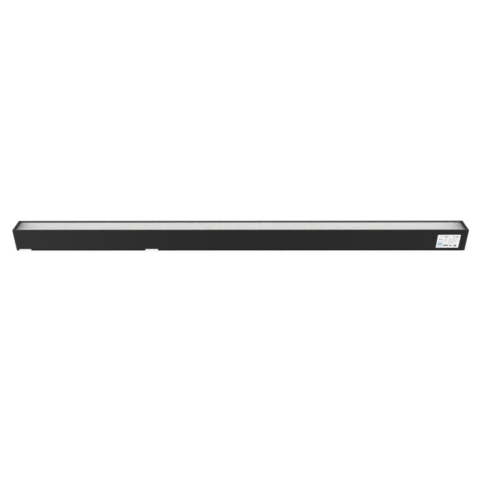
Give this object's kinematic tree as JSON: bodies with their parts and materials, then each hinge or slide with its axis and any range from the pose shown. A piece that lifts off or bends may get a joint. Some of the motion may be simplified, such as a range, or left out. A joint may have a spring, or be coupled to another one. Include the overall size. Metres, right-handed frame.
{
  "type": "linear led batten luminaire",
  "caption": "Straight black linear luminaire with an opal diffuser between two rims, end caps, lip notches for the cable and sliding hanger brackets on the back.",
  "frame": {"origin": "middle of the batten at the mounting plane: the centre of the bounding box bottom", "axes": "+X along the length towards the end with the rating label, -Y out of the front wall with the label and the lip notches, +Z towards the light-emitting side"},
  "size_m": [1.2, 0.0534, 0.063],
  "materials": {
    "black_powder_coat": "fine matt powder coat",
    "black_end_cap": "satin moulded, slightly lighter than the housing",
    "opal_acrylic": "satin opal",
    "label_white": "satin label film",
    "zinc_steel": "zinc plated",
    "galvanised_tray": "galvanised sheet",
    "bracket_steel": "plated strip",
    "white_plastic": "moulded",
    "liner_white": "matt white paint",
    "led_board_white": "white solder mask on aluminium core",
    "rubber_black": "matt",
    "driver_board_green": "solder mask",
    "ferrite": "sintered",
    "capacitor_can": "drawn can",
    "grey_plastic": "moulded",
    "tinned_brass": "tinned",
    "insulation_brown": "satin",
    "insulation_blue": "satin",
    "insulation_green": "satin",
    "insulation_red": "satin",
    "insulation_black": "satin"
  },
  "bodies": {
    "batten": {"board_link_1": "white_plastic", "board_link_2": "white_plastic", "board_link_3": "white_plastic", "cable_entry_grommet": "rubber_black", "cord_clamp": "white_plastic", "cord_clamp_screw_back": "zinc_steel", "cord_clamp_screw_front": "zinc_steel", "diffuser": "opal_acrylic", "driver_capacitor_1": "capacitor_can", "driver_capacitor_2": "capacitor_can", "driver_capacitor_3": "capacitor_can", "driver_case_base": "white_plastic", "driver_case_cover": "white_plastic", "driver_input_terminal": "grey_plastic", "driver_output_terminal": "grey_plastic", "driver_pcb": "driver_board_green", "driver_screw_left": "zinc_steel", "driver_screw_right": "zinc_steel", "driver_transformer": "ferrite", "earth_ring_terminal": "tinned_brass", "earth_screw": "zinc_steel", "end_cap_left": "black_end_cap", "end_cap_right": "black_end_cap", "end_cap_screw_left_1": "zinc_steel", "end_cap_screw_left_2": "zinc_steel", "end_cap_screw_left_3": "zinc_steel", "end_cap_screw_left_4": "zinc_steel", "end_cap_screw_right_1": "zinc_steel", "end_cap_screw_right_2": "zinc_steel", "end_cap_screw_right_3": "zinc_steel", "end_cap_screw_right_4": "zinc_steel", "gear_tray": "galvanised_tray", "housing": "black_powder_coat", "led_board_1": "led_board_white", "led_board_2": "led_board_white", "led_board_3": "led_board_white", "led_board_4": "led_board_white", "rating_label": "label_white", "reflector_back": "liner_white", "reflector_front": "liner_white", "supply_connector": "white_plastic", "terminal_block_body": "grey_plastic", "terminal_spring_earth": "zinc_steel", "terminal_spring_live": "zinc_steel", "terminal_spring_neutral": "zinc_steel", "web_grommet": "rubber_black", "wire_dc_negative": "insulation_black", "wire_dc_positive": "insulation_red", "wire_earth": "insulation_green", "wire_live": "insulation_brown", "wire_neutral": "insulation_blue"},
    "bracket_left": {"mounting_bracket_left": "bracket_steel", "bracket_lock_screw_left": "zinc_steel"},
    "bracket_right": {"mounting_bracket_right": "bracket_steel", "bracket_lock_screw_right": "zinc_steel"},
    "lever_live": {"terminal_lever_live": "insulation_brown"},
    "lever_neutral": {"terminal_lever_neutral": "insulation_blue"},
    "lever_earth": {"terminal_lever_earth": "insulation_green"}
  },
  "joints": [
    {"name": "bracket_left_slide", "type": "slide", "parent": "batten", "child": "bracket_left", "axis": [1, 0, 0], "range_m": [-0.178, 0.12]},
    {"name": "bracket_right_slide", "type": "slide", "parent": "batten", "child": "bracket_right", "axis": [1, 0, 0], "range_m": [-0.12, 0.178]},
    {"name": "lever_live_hinge", "type": "hinge", "parent": "batten", "child": "lever_live", "pos_m": [-0.15, -0.008, 0.02005], "axis": [0, -1, 0], "range_deg": [0, 85]},
    {"name": "lever_neutral_hinge", "type": "hinge", "parent": "batten", "child": "lever_neutral", "pos_m": [-0.15, 0, 0.02005], "axis": [0, -1, 0], "range_deg": [0, 85]},
    {"name": "lever_earth_hinge", "type": "hinge", "parent": "batten", "child": "lever_earth", "pos_m": [-0.15, 0.008, 0.02005], "axis": [0, -1, 0], "range_deg": [0, 85]}
  ]
}
